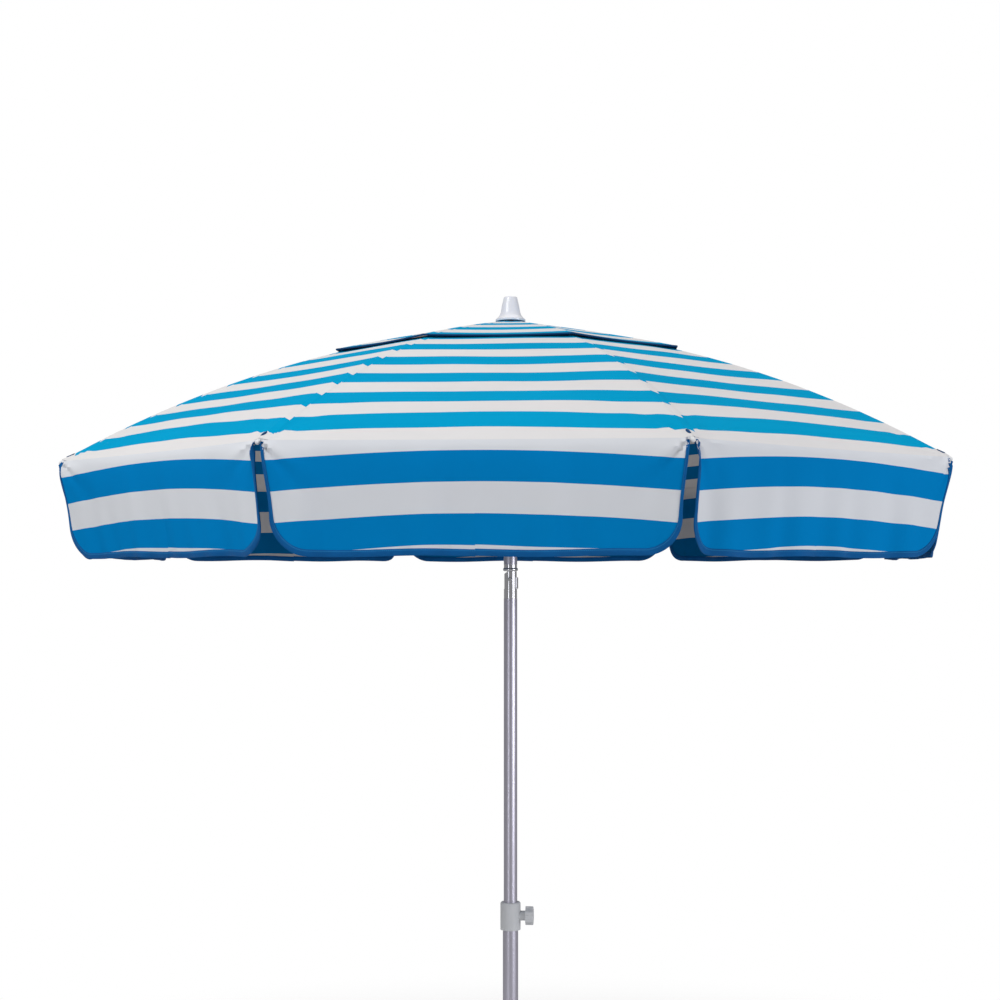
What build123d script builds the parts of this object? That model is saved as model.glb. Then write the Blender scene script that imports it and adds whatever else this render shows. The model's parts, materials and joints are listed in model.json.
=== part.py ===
"""Beach umbrella: an eight-rib folding canopy with a vented top on a tilting two-part pole.

Millimetres, +Z up along the pole, origin at the tip of the ground spike. Panel centres lie on the
X and Y axes and on their diagonals, and the ribs lie halfway between them.
"""
import os
from math import asin, atan2, cos, degrees, hypot, radians, sin, sqrt, tan

from build123d import *

# Canopy
RIBS = 8
RIM_RADIUS = 1000.0  # from the axis to a rib's tip
RIM_DROP = 328.0  # from the crown pins down to the rib tips
RIB_BEND_RADIUS = 2400.0
VENT_RADIUS = 300.0  # where the main cloth starts, under the vent cap
CAP_RADIUS = 405.0  # the vent cap's corners
CAP_INNER_RADIUS = 13.0
CAP_LIFT = 7.6  # from the main cloth up to the cap's corners
CAP_BOW = 8.0  # how far the cap's profile stands above a straight line
CAP_CLEARANCE = 7.5  # from the hub up to the cap's middle
RIM_INSET = 2.0  # from the rib tips in to the cloth's edge
CLOTH = 1.6
CLOTH_GAP = 0.6  # between cloth and the frame under it
PANEL_GAP = 0.8  # between neighbouring panels
VALANCE_DROP = 210.0
VALANCE_TUCK = 30.0  # how far the valance's hem hangs inside its top edge
VALANCE_SLIT = 20.0
VALANCE_CORNER = 80.0

# Ribs and stretchers
ROD = 5.0
ROD_OVERLAP = 2.0  # how far a rod runs into its eye
EYE_THICK = 3.0
EYE_RADIUS = 3.4
EYE_REACH = 10.0  # from a pin to where the round rod begins
WIRE = 2.0
WIRE_CLEARANCE = 0.08
PIVOT_RADIUS = 432.0  # from the axis to the rib's stretcher pivot
PIVOT_DROP = 10.0  # from the rib down to that pivot
RIVET = 3.0
RIVET_HEAD = 6.0
RIVET_CLEARANCE = 0.06
RIVET_HEAD_HEIGHT = 1.2
LUG_THICK = 1.5
LUG_RADIUS = 4.0
SADDLE_INSET = 0.5  # from the rod's top and bottom in to the saddle's
SADDLE_HEIGHT = ROD - 2 * SADDLE_INSET
LUG_GAP = 0.4
TIP_WALL = 2.0
TIP_DIAMETER = ROD + 2 * TIP_WALL
TIP_LENGTH = 17.0
TIP_PROUD = 6.0
TIP_ROUND = 0.42  # share of its diameter
TIP_EDGE = 1.0

# Pole
TUBE = 30.8
TUBE_WALL = 1.2
SLIDE_CLEARANCE = 0.9  # between the inner tube and the lower one's bore
LOWER_TUBE = TUBE + 2 * (SLIDE_CLEARANCE + TUBE_WALL)
SLEEVE_CLEARANCE = 0.35
POLE_LENGTH = 1750.0  # from the spike's tip to the plane of the rib tips
SPIKE_LENGTH = 110.0
SPIKE_PLUG = 60.0
SPIKE_POINT = 3.0
SPIKE_STRAIGHT = 14.0  # the part as wide as the tube
COLLAR_HEIGHT = 750.0  # the top of the lower tube
TUBE_OVERLAP = 120.0  # what stays inside the lower tube at full height
PIN_DROP = 248.0  # from the plane of the rib tips down to the tilt pin

# Tilt joint
SOCKET_STEP = 0.3
SOCKET = TUBE - 2 * SOCKET_STEP
SPIGOT_LENGTH = 40.0
SPIGOT_CLEARANCE = 0.05
FORK_BELOW = 44.0
SEAM_ABOVE = 18.5  # from the tilt pin up to the underside of the bead
SEAM_GAP = 0.4
BEAD_PROUD = 2.0
BEAD_DIAMETER = SOCKET + 2 * BEAD_PROUD
BEAD_HEIGHT = 8.0
UPPER_SOCKET_ABOVE = 34.0  # from the tilt pin up to the end of the upper tube
TILT = 35.0
TILT_MARGIN = 1.0
BEVELS = 4  # flats that make the cheeks' tops clear the bead at every tilt
TONGUE_WIDTH = 12.0
TONGUE_RADIUS = 7.5
TONGUE_CLEARANCE = 0.3
TILT_PIN = 6.0
PIN_CLEARANCE = 0.05
PIN_HEAD = 10.0
PIN_HEAD_HEIGHT = 1.6
PIN_HEAD_ROUND = 1.2
PIN_SHORT = 0.4  # by which the pin misses the fork's outside
BUTTON_CLEARANCE = 0.7
BUTTON_WIDTH = TONGUE_WIDTH + 2 * (TONGUE_CLEARANCE - BUTTON_CLEARANCE)
BUTTON_HEIGHT = 26.0
BUTTON_PROUD = 2.6
BUTTON_TRAVEL = 2.2
BUTTON_ROOM = 2.0  # from the button up to the seam
BUTTON_ROUND = 1.5
SLOT_BELOW = 22.0

# Hub, runner and finial
RUNNER_CLEARANCE = 2.9
RUNNER_BORE = TUBE + 2 * RUNNER_CLEARANCE
RUNNER_WALL = 4.0
RING_OUT = 7.7  # from the runner's barrel out to the pins
RING_RADIUS = RUNNER_BORE / 2 + RUNNER_WALL + RING_OUT  # the circle that the pins lie on
HUB_EDGE = 6.0
HUB_RADIUS = RING_RADIUS + HUB_EDGE
HUB_HALF = 6.0
HUB_WALL = 5.6
HUB_SKIRT_RADIUS = TUBE / 2 + HUB_WALL
HUB_SKIRT = 34.0
HUB_TOP = 4.0
SLOT_CLEARANCE = 0.4
SLOT = EYE_THICK + 2 * SLOT_CLEARANCE
SLOT_DEPTH = 12.0
CHANNEL_CLEARANCE = 0.02
RUNNER_LENGTH = 64.0
RUNNER_RIM = 3.0
RUNNER_RIM_HEIGHT = 5.0
STUD = 8.0
STUD_LENGTH = 24.0
STUD_CLEARANCE = 0.05
FINIAL_BASE = 69.0
FINIAL_WAIST = 44.0
FINIAL_NECK = 39.0
FINIAL_TOP = 32.0
FINIAL_EDGE = 4.0
FINIAL_HEIGHT = 57.0
FINIAL_SEAT = 0.5
CATCH_WIDTH = 9.0
CATCH_LENGTH = 34.0
CATCH_THICK = 3.0
CATCH_PAD = 4.0
CATCH_PIN = 3.0
CATCH_PIN_PROUD = 0.75
CATCH_LUG = 3.0
CATCH_LUG_HEIGHT = 10.0
CATCH_BARREL = 6.0
CATCH_SIDE_GAP = 0.5
CATCH_STANDOFF = 3.5
CATCH_RISE = 1.0
CATCH_CLEARANCE = 0.3  # from the release button to the catch's beak as the runner passes

# Clamp collar
SWAGE = 0.3  # how far the lower tube's end is drawn in for the collar
COLLAR_SEAT = LOWER_TUBE - 2 * SWAGE
COLLAR_WALL = 5.8
COLLAR_DIAMETER = COLLAR_SEAT + 2 * COLLAR_WALL
COLLAR_ABOVE = 18.0
COLLAR_LENGTH = 62.0
COLLAR_ROUND = 4.0
SEAT_BELOW = 6.0  # how far that end shows under the collar
BOSS_RADIUS = 11.0
BOSS_PROUD = 11.0
BOSS_REACH = COLLAR_DIAMETER / 2 + BOSS_PROUD
SCREW = 8.0
SCREW_CLEARANCE = 0.08
SCREW_GAP = 0.4
KNOB_RADIUS = 21.0
KNOB_LENGTH = 18.0
KNOB_LOBES = 6
LOBE_RADIUS = 6.0
KNOB_ROUND = 2.0
PART = 1.0  # by which a cutting or joining shape overruns its face

BASE = (Align.CENTER, Align.CENTER, Align.MIN)

# Places that follow from the sizes above
RIM_Z = POLE_LENGTH
CROWN_Z = RIM_Z + RIM_DROP
PIN_Z = RIM_Z - PIN_DROP
STEP = 360.0 / RIBS
HALF = STEP / 2
PANEL_SCALE = cos(radians(HALF))  # apothem over corner radius
RIB_AZIMUTHS = [HALF + STEP * i for i in range(RIBS)]

CHORD = hypot(RIM_RADIUS - RING_RADIUS, RIM_DROP)
CHORD_SLOPE = degrees(atan2(RIM_DROP, RIM_RADIUS - RING_RADIUS))
HALF_TURN = degrees(asin(CHORD / 2 / RIB_BEND_RADIUS))
CROWN_SLOPE = CHORD_SLOPE - HALF_TURN
BEND_X = RING_RADIUS - RIB_BEND_RADIUS * sin(radians(CROWN_SLOPE))
BEND_Z = CROWN_Z - RIB_BEND_RADIUS * cos(radians(CROWN_SLOPE))


def rib_height(radius, above=0.0):
    """Height of the rib's line, or of one a distance above it, at a radius from the axis."""
    return BEND_Z + sqrt((RIB_BEND_RADIUS + above) ** 2 - (radius - BEND_X) ** 2)


def rib_slope(radius):
    """Downward slope of the rib's line in degrees at a radius from the axis."""
    return degrees(asin((radius - BEND_X) / RIB_BEND_RADIUS))


PIVOT_Z = rib_height(PIVOT_RADIUS) - PIVOT_DROP
STRETCHER = hypot(PIVOT_RADIUS - RING_RADIUS, CROWN_Z - PIVOT_Z)
RUNNER_Z = 2 * PIVOT_Z - CROWN_Z
CLOTH_LIFT = ROD / 2 + CLOTH_GAP


def turned(shape, angle):
    """A shape turned about the pole's axis."""
    return Rot(0, 0, angle) * shape


def across(radius, length, x=0.0, z=0.0):
    """A cylinder along Y, centred on the XZ plane."""
    return Pos(x, 0, z) * Rot(90, 0, 0) * Cylinder(radius, length)


def outward(radius, length, x=0.0, z=0.0):
    """A cylinder along +X that starts at x."""
    return Pos(x, 0, z) * Rot(0, 90, 0) * Cylinder(radius, length, align=BASE)


def block(x, y, z):
    """A box between two limits along each axis."""
    size = [high - low for low, high in (x, y, z)]
    return Pos(*[(low + high) / 2 for low, high in (x, y, z)]) * Box(*size)


def rod_cylinder(start, end, diameter):
    """A straight round rod between two points of the XZ plane."""
    run = Vector(end[0] - start[0], 0, end[1] - start[1])
    place = Plane(origin=(start[0], 0, start[1]), z_dir=run)
    return place * Cylinder(diameter / 2, run.length, align=BASE)


def eye(pin, towards, bore):
    """A flat eye about a pin, with its neck running towards the rod."""
    angle = degrees(atan2(towards[1] - pin[1], towards[0] - pin[0]))
    reach = EYE_REACH + ROD_OVERLAP
    neck = block((0, reach), (-EYE_THICK / 2, EYE_THICK / 2), (-ROD / 2 + 0.1, ROD / 2 - 0.1))
    flat = across(EYE_RADIUS, EYE_THICK) + neck
    flat -= across(bore / 2, EYE_THICK * 2)
    return Pos(pin[0], 0, pin[1]) * Rot(0, -angle, 0) * flat


# Ribs, tips and stretchers, drawn along +X and then turned to their places


def bent_rod():
    """The rib's round rod: an arc in the XZ plane from beyond the crown eye to the tip."""
    slope = radians(CROWN_SLOPE)
    start_x = RING_RADIUS + EYE_REACH * cos(slope)
    middle_x = (start_x + RIM_RADIUS) / 2
    points = [(x, 0, rib_height(x)) for x in (start_x, middle_x, RIM_RADIUS)]
    path = ThreePointArc(*points)
    profile = Plane(origin=path @ 0, z_dir=path % 0) * Circle(ROD / 2)
    return sweep(profile, path=path)


def rib():
    crown = (RING_RADIUS, CROWN_Z)
    slope = radians(CROWN_SLOPE)
    rod_start = (RING_RADIUS + cos(slope), CROWN_Z - sin(slope))
    root = eye(crown, rod_start, WIRE + 2 * WIRE_CLEARANCE)
    lug_offset = EYE_THICK / 2 + LUG_GAP + LUG_THICK / 2
    lugs = []
    for side in (-1, 1):
        plate = across(LUG_RADIUS, LUG_THICK)
        thickness = (-LUG_THICK / 2, LUG_THICK / 2)
        plate += block((-LUG_RADIUS, LUG_RADIUS), thickness, (0, PIVOT_DROP))
        lugs.append(Pos(PIVOT_RADIUS, side * lug_offset, PIVOT_Z) * plate)
    width = 2 * lug_offset + LUG_THICK
    saddle = Box(2 * LUG_RADIUS, width, SADDLE_HEIGHT)
    top = Pos(PIVOT_RADIUS, 0, PIVOT_Z + PIVOT_DROP) * Rot(0, rib_slope(PIVOT_RADIUS), 0) * saddle
    rivet_hole = across(RIVET / 2, width * 2, PIVOT_RADIUS, PIVOT_Z)
    return (bent_rod() + root + top + lugs[0] + lugs[1]) - rivet_hole


def rivet():
    """The stretcher's rivet, with a head outside each lug."""
    width = EYE_THICK + 2 * LUG_GAP + 2 * LUG_THICK
    pin = across(RIVET / 2, width)
    for side in (-1, 1):
        head = Rot(90 * side, 0, 0) * Cylinder(RIVET_HEAD / 2, RIVET_HEAD_HEIGHT, align=BASE)
        pin += Pos(0, -side * width / 2, 0) * head
    return Pos(PIVOT_RADIUS, 0, PIVOT_Z) * pin


def rib_tip():
    cap = Cylinder(TIP_DIAMETER / 2, TIP_LENGTH, align=BASE)
    cap = fillet(cap.edges().sort_by(Axis.Z)[-1], TIP_DIAMETER * TIP_ROUND)
    cap = fillet(cap.edges().sort_by(Axis.Z)[0], TIP_EDGE)
    return tip_place() * Pos(0, 0, TIP_PROUD - TIP_LENGTH) * cap - bent_rod()


def stretcher():
    pivot = (PIVOT_RADIUS, PIVOT_Z)
    foot = (RING_RADIUS, RUNNER_Z)
    along = [(foot[k] - pivot[k]) / STRETCHER for k in (0, 1)]
    start = [pivot[k] + EYE_REACH * along[k] for k in (0, 1)]
    end = [foot[k] - EYE_REACH * along[k] for k in (0, 1)]
    rod = rod_cylinder(start, end, ROD)
    outer = eye(pivot, foot, RIVET + 2 * RIVET_CLEARANCE)
    inner = eye(foot, pivot, WIRE + 2 * WIRE_CLEARANCE)
    return rod + outer + inner


# Cloth: each node is what is sewn along one rib, half a panel to each side


def half_wedge(outer, low, high, gap):
    """The space between a rib's plane and the middle of the panel beside it, on the +Y side."""
    reach = outer * 1.2  # beyond the panel's corner
    corners = [
        (gap / 2 / sin(radians(HALF)), 0),
        (reach, 0),
        (reach, reach * tan(radians(HALF)) - gap / 2 / cos(radians(HALF))),
    ]
    face = make_face(Polyline(*corners, close=True))
    return Pos(0, 0, low) * extrude(face, high - low)


def half_panel(inner, outer, height, gap):
    """Half a panel: straight level threads from the rib's plane to the panel's middle."""
    radii = (inner, (inner + outer) / 2, outer)
    low = [(r * PANEL_SCALE, 0, height(r)) for r in radii]
    high = [(r * PANEL_SCALE, 0, height(r) + CLOTH) for r in radii]
    outline = ThreePointArc(*low) + Line(low[-1], high[-1])
    outline += ThreePointArc(*reversed(high)) + Line(high[0], low[0])
    strip = extrude(make_face(outline), outer, dir=(0, -1, 0))
    strip = turned(strip, HALF)
    heights = [height(inner), height(outer)]
    return strip & half_wedge(outer, min(heights) - outer, max(heights) + outer, gap)


def rib_panel(inner, outer, height):
    half = half_panel(inner, outer, height, PANEL_GAP)
    return half + mirror(half, about=Plane.XZ)


def main_height(radius):
    return rib_height(radius, CLOTH_LIFT)


CAP_CENTRE_Z = CROWN_Z + HUB_HALF + HUB_TOP + CAP_CLEARANCE


def cap_height(radius):
    """Height of the vent cap: a shallow dome from the finial to its corners over the ribs."""
    edge = main_height(CAP_RADIUS) + CAP_LIFT
    share = (radius - CAP_INNER_RADIUS) / (CAP_RADIUS - CAP_INNER_RADIUS)
    return CAP_CENTRE_Z + (edge - CAP_CENTRE_Z) * share + 4 * CAP_BOW * share * (1 - share)


def tip_place():
    """Where a rib's tip is, with +Z along the rod and out of its end."""
    return Pos(RIM_RADIUS, 0, rib_height(RIM_RADIUS)) * Rot(0, 90 + rib_slope(RIM_RADIUS), 0)


def canopy_panel():
    """The main cloth, open round the rib's tip, and the vent cap over it."""
    tip_room = Cylinder(TIP_DIAMETER / 2 + CLOTH_GAP, TIP_LENGTH * 3)
    main = rib_panel(VENT_RADIUS, RIM_RADIUS - RIM_INSET, main_height) - tip_place() * tip_room
    cap = rib_panel(CAP_INNER_RADIUS, CAP_RADIUS, cap_height)
    return main, cap


def valance_flap():
    """One half flap beside a rib, hanging from the rim with a round lower corner at the slit."""
    top = main_height(RIM_RADIUS)
    length = RIM_RADIUS * sin(radians(HALF))
    outline = [
        (length - PANEL_GAP / 2, 0),
        (VALANCE_SLIT / 2, 0),
        (VALANCE_SLIT / 2, -VALANCE_DROP),
        (length - PANEL_GAP / 2, -VALANCE_DROP),
    ]
    face = make_face(Polyline(*outline, close=True))
    low = face.vertices().group_by(Axis.Y)[0].sort_by(Axis.X)[0]
    face = fillet(low, VALANCE_CORNER)
    sheet = Plane.XZ * face
    flap = extrude(sheet, CLOTH)
    lean = degrees(asin(VALANCE_TUCK / VALANCE_DROP))
    flap = Rot(lean, 0, 0) * flap
    # x runs along the rim from the rib towards the middle of the panel
    return Pos(RIM_RADIUS, 0, top) * Rot(0, 0, 90 + HALF) * Pos(0, CLOTH, 0) * flap


def valance_panel():
    flap = valance_flap()
    return flap, mirror(flap, about=Plane.XZ)


# Pole


def tube(low, high, diameter):
    outer = Pos(0, 0, low) * Cylinder(diameter / 2, high - low, align=BASE)
    inner = Pos(0, 0, low - PART) * Cylinder(diameter / 2 - TUBE_WALL, high - low + 2 * PART, align=BASE)
    return outer - inner


def lower_pole():
    """The lower tube, swaged for the collar, with the hole that lets the clamp screw through."""
    shoulder = COLLAR_HEIGHT + COLLAR_ABOVE - COLLAR_LENGTH - SEAT_BELOW
    outer = Pos(0, 0, SPIKE_LENGTH) * Cylinder(LOWER_TUBE / 2, shoulder - SPIKE_LENGTH, align=BASE)
    outer += Pos(0, 0, shoulder) * Cylinder(COLLAR_SEAT / 2, COLLAR_HEIGHT - shoulder, align=BASE)
    inner = Pos(0, 0, SPIKE_LENGTH) * Cylinder(LOWER_TUBE / 2 - TUBE_WALL, COLLAR_HEIGHT, align=BASE)
    return outer - inner - outward(SCREW / 2 + PART, LOWER_TUBE, 0, clamp_height())


def ground_spike():
    """A hollow-ground point with a plug that fits the lower tube."""
    plug = LOWER_TUBE / 2 - TUBE_WALL
    side = LOWER_TUBE / 2
    outline = Polyline(
        (0, 0), (SPIKE_POINT, 0), (side * 0.55, SPIKE_LENGTH * 0.45), (side, SPIKE_LENGTH - SPIKE_STRAIGHT),
        (side, SPIKE_LENGTH), (plug, SPIKE_LENGTH), (plug, SPIKE_LENGTH + SPIKE_PLUG),
        (0, SPIKE_LENGTH + SPIKE_PLUG), close=True,
    )
    return revolve(Plane.XZ * make_face(outline), Axis.Z)


def height_collar():
    """A moulded collar on top of the lower tube, with a threaded boss for the clamp screw."""
    low = COLLAR_HEIGHT + COLLAR_ABOVE - COLLAR_LENGTH
    body = Pos(0, 0, low) * Cylinder(COLLAR_DIAMETER / 2, COLLAR_LENGTH, align=BASE)
    body = fillet(body.edges().group_by(Axis.Z)[-1], COLLAR_ROUND)
    body += outward(BOSS_RADIUS, BOSS_REACH, 0, clamp_height())
    body -= Pos(0, 0, low - PART) * Cylinder(COLLAR_SEAT / 2, COLLAR_HEIGHT + PART - low, align=BASE)
    bore = TUBE / 2 + SLEEVE_CLEARANCE
    body -= Pos(0, 0, low - PART) * Cylinder(bore, COLLAR_LENGTH + 2 * PART, align=BASE)
    return body - outward(SCREW / 2 + SCREW_CLEARANCE, BOSS_REACH * 2, 0, clamp_height())


def clamp_height():
    return COLLAR_HEIGHT + COLLAR_ABOVE - COLLAR_LENGTH / 2


def clamp_knob():
    """A lobed knob moulded on the clamp screw."""
    tip = TUBE / 2 + SCREW_GAP
    head = BOSS_REACH + SCREW_GAP
    screw = outward(SCREW / 2, head - tip + PART, tip, 0)
    knob = Circle(KNOB_RADIUS - LOBE_RADIUS / 2)
    for i in range(KNOB_LOBES):
        knob += Rot(0, 0, i * 360 / KNOB_LOBES) * Pos(KNOB_RADIUS - LOBE_RADIUS, 0, 0) * Circle(LOBE_RADIUS)
    grip = extrude(knob, KNOB_LENGTH)
    grip = fillet(grip.edges().group_by(Axis.Z)[-1], KNOB_ROUND)
    grip = Pos(head, 0, 0) * Rot(0, 90, 0) * grip
    return Pos(0, 0, clamp_height()) * (grip + screw)


def mid_pole():
    return tube(COLLAR_HEIGHT - TUBE_OVERLAP, PIN_Z - FORK_BELOW, TUBE)


def tilt_lower_socket():
    """The chromed fork: a spigot in the tube below and two cheeks about the tongue."""
    low = PIN_Z - FORK_BELOW
    top = SEAM_ABOVE - SEAM_GAP
    fork = Pos(0, 0, low) * Cylinder(SOCKET / 2, FORK_BELOW + top, align=BASE)
    spigot = Pos(0, 0, low - SPIGOT_LENGTH) * Cylinder(
        TUBE / 2 - TUBE_WALL - SPIGOT_CLEARANCE, SPIGOT_LENGTH, align=BASE)
    fork += spigot
    slot = TONGUE_WIDTH / 2 + TONGUE_CLEARANCE
    fork -= block((-SOCKET, SOCKET), (-slot, slot), (PIN_Z - SLOT_BELOW, PIN_Z + SEAM_ABOVE))
    room = Pos(0, 0, top) * Box(SOCKET * 4, SOCKET * 2, SOCKET, align=BASE)
    for step in range(1, BEVELS + 1):
        fork -= Pos(0, 0, PIN_Z) * Rot(0, -(TILT + TILT_MARGIN) * step / BEVELS, 0) * room
    return fork - across(TILT_PIN / 2, SOCKET * 2, 0, PIN_Z)


def tilt_upper_socket():
    """The chromed tongue under a bead, with a spigot in the tube above."""
    seam = PIN_Z + SEAM_ABOVE
    bead = Pos(0, 0, seam) * Cylinder(BEAD_DIAMETER / 2, BEAD_HEIGHT, align=BASE)
    bead = fillet(bead.edges().filter_by(GeomType.CIRCLE), BEAD_HEIGHT * 0.45)
    top = PIN_Z + UPPER_SOCKET_ABOVE
    body = Pos(0, 0, seam + PART) * Cylinder(SOCKET / 2, top - seam - PART, align=BASE)
    spigot = Pos(0, 0, top) * Cylinder(
        TUBE / 2 - TUBE_WALL - SPIGOT_CLEARANCE, SPIGOT_LENGTH, align=BASE)
    side = TONGUE_WIDTH / 2
    tongue = across(TONGUE_RADIUS, TONGUE_WIDTH, 0, PIN_Z)
    tongue += block((-TONGUE_RADIUS, TONGUE_RADIUS), (-side, side), (PIN_Z, seam + PART))
    socket = bead + body + spigot + tongue
    return socket - across(TILT_PIN / 2 + PIN_CLEARANCE, TONGUE_WIDTH * 2, 0, PIN_Z)


def tilt_pin():
    pin = across(TILT_PIN / 2, SOCKET)
    seat = sqrt((SOCKET / 2) ** 2 - (PIN_HEAD / 2) ** 2)
    for side in (-1, 1):
        head = Cylinder(PIN_HEAD / 2, SOCKET / 2 + PIN_HEAD_HEIGHT - seat, align=BASE)
        head = fillet(head.edges().group_by(Axis.Z)[-1], PIN_HEAD_ROUND)
        pin += Rot(90 * side, 0, 0) * Pos(0, 0, seat) * head
    heads = pin - Cylinder(SOCKET / 2, SOCKET)
    return Pos(0, 0, PIN_Z) * (heads + across(TILT_PIN / 2, SOCKET - PIN_SHORT))


def tilt_release_button():
    """A sprung block in the fork's slot, opposite the side that the canopy tilts to."""
    back = TONGUE_RADIUS + SEAM_GAP + BUTTON_TRAVEL
    side = BUTTON_WIDTH / 2
    low = PIN_Z - SLOT_BELOW + SEAM_GAP
    high = min(low + BUTTON_HEIGHT, PIN_Z + SEAM_ABOVE - BUTTON_ROOM)
    body = block((back, SOCKET), (-side, side), (low, high))
    face = Pos(0, 0, low - PART) * Cylinder(SOCKET / 2 + BUTTON_PROUD, BUTTON_HEIGHT + 2 * PART, align=BASE)
    button = body & face
    return fillet(button.edges().filter_by(GeomType.CIRCLE), BUTTON_ROUND)


def upper_pole():
    return tube(PIN_Z + UPPER_SOCKET_ABOVE, CROWN_Z - HUB_HALF, TUBE)


# Hub, runner and finial


def slotted_disc(z):
    """A disc with a slot for each eye and a round channel for the wire that the eyes hang on."""
    disc = Pos(0, 0, z) * Cylinder(HUB_RADIUS, 2 * HUB_HALF)
    start = HUB_RADIUS - SLOT_DEPTH
    slot = block((start, HUB_RADIUS * 2), (-SLOT / 2, SLOT / 2), (z - 2 * HUB_HALF, z + 2 * HUB_HALF))
    for azimuth in RIB_AZIMUTHS:
        disc -= turned(slot, azimuth)
    return disc - Pos(0, 0, z) * Torus(RING_RADIUS, WIRE / 2 + CHANNEL_CLEARANCE)


def ring_wire(z):
    return Pos(0, 0, z) * Torus(RING_RADIUS, WIRE / 2)


def crown_hub():
    hub = slotted_disc(CROWN_Z)
    top = CROWN_Z + HUB_HALF
    hub += Pos(0, 0, top) * Cylinder(HUB_SKIRT_RADIUS, HUB_TOP, align=BASE)
    hub += Pos(0, 0, top + HUB_TOP) * Cylinder(STUD / 2, STUD_LENGTH, align=BASE)
    skirt_low = CROWN_Z - HUB_HALF - HUB_SKIRT
    hub += Pos(0, 0, skirt_low) * Cylinder(HUB_SKIRT_RADIUS, HUB_SKIRT + PART, align=BASE)
    pocket = Pos(0, 0, skirt_low - PART) * Cylinder(TUBE / 2, HUB_SKIRT + PART, align=BASE)
    return hub - pocket


def finial():
    """A turned plastic cap screwed on the hub's stud, which holds the vent cap down."""
    low = CAP_CENTRE_Z + CLOTH + FINIAL_SEAT
    top = low + FINIAL_HEIGHT
    base, waist, neck, crest = (d / 2 for d in (FINIAL_BASE, FINIAL_WAIST, FINIAL_NECK, FINIAL_TOP))
    waist_z, neck_z = low + FINIAL_HEIGHT * 0.42, low + FINIAL_HEIGHT * 0.66
    edge = FINIAL_EDGE
    bulge = edge * (1 - sqrt(0.5))
    flare = Spline((base, low + edge), (base * 0.78, low + FINIAL_HEIGHT * 0.2), (waist, waist_z))
    side = Line((waist, waist_z), (neck, neck_z))
    shoulder = Line((neck, neck_z), (crest, top - edge))
    crown = ThreePointArc((crest, top - edge), (crest - bulge, top - bulge), (crest - edge, top))
    rest = Polyline((crest - edge, top), (0, top), (0, low), (base, low), (base, low + edge))
    outline = flare + side + shoulder + crown + rest
    body = revolve(Plane.XZ * make_face(outline), Axis.Z)
    socket = Pos(0, 0, low - PART) * Cylinder(STUD / 2 + STUD_CLEARANCE, STUD_LENGTH, align=BASE)
    return body - socket


def runner():
    """The sliding collar that the stretchers are hung on, with lugs for its catch."""
    outer = RUNNER_BORE / 2 + RUNNER_WALL
    low = RUNNER_Z - RUNNER_LENGTH
    collar = slotted_disc(RUNNER_Z)
    collar += Pos(0, 0, low) * Cylinder(outer, RUNNER_LENGTH, align=BASE)
    collar += Pos(0, 0, low) * Cylinder(outer + RUNNER_RIM, RUNNER_RIM_HEIGHT, align=BASE)
    x, z = catch_place(), catch_height()
    edge = CATCH_WIDTH / 2 + CATCH_SIDE_GAP
    for side in (-1, 1):
        limits = sorted((side * edge, side * (edge + CATCH_LUG)))
        high = (z - CATCH_LUG_HEIGHT / 2, z + CATCH_LUG_HEIGHT / 2)
        collar += block((outer - PART, x + CATCH_LUG), limits, high)
    bore = Cylinder(RUNNER_BORE / 2, RUNNER_LENGTH + 2 * HUB_HALF + 2 * PART, align=BASE)
    bore = Pos(0, 0, low - PART) * bore
    reach = CATCH_LENGTH / 2 + CATCH_SIDE_GAP + PART
    window = block((0, outer + CATCH_SIDE_GAP), (-edge, edge), (z - reach, z + reach))
    return collar - bore - window - across(CATCH_PIN / 2, CATCH_WIDTH * 4, x, z)


def catch_height():
    return RUNNER_Z - RUNNER_LENGTH / 2 + CATCH_RISE


def catch_place():
    """Distance from the axis to the catch's pin."""
    return RUNNER_BORE / 2 + RUNNER_WALL + CATCH_STANDOFF


def runner_catch():
    """A thumb lever hung in the runner's window: pressed in below, its beak leaves the pole above."""
    x, z = catch_place(), catch_height()
    side = (-CATCH_WIDTH / 2, CATCH_WIDTH / 2)
    nose = SOCKET / 2 + BUTTON_PROUD + CATCH_CLEARANCE
    back, front = x - CATCH_THICK / 2, x + CATCH_THICK / 2
    half = CATCH_LENGTH / 2
    lever = across(CATCH_BARREL / 2, CATCH_WIDTH, x, z)
    lever += block((back, front), side, (z - half, z + half))
    lever += block((nose, front), side, (z + half - CATCH_THICK, z + half))
    lever += block((back, front + CATCH_PAD), side, (z - half, z - half + 2 * CATCH_THICK))
    return lever - across(CATCH_PIN / 2 + PIN_CLEARANCE, CATCH_WIDTH * 4, x, z)


def catch_pin():
    length = CATCH_WIDTH + 2 * (CATCH_SIDE_GAP + CATCH_LUG + CATCH_PIN_PROUD)
    return across(CATCH_PIN / 2, length, catch_place(), catch_height())


def write(name, shapes):
    solids = shapes if isinstance(shapes, (list, tuple)) else [shapes]
    solids = [solid for shape in solids for solid in shape.solids()]
    export_step(Compound(children=solids), f"parts/{name}.step")


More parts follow.
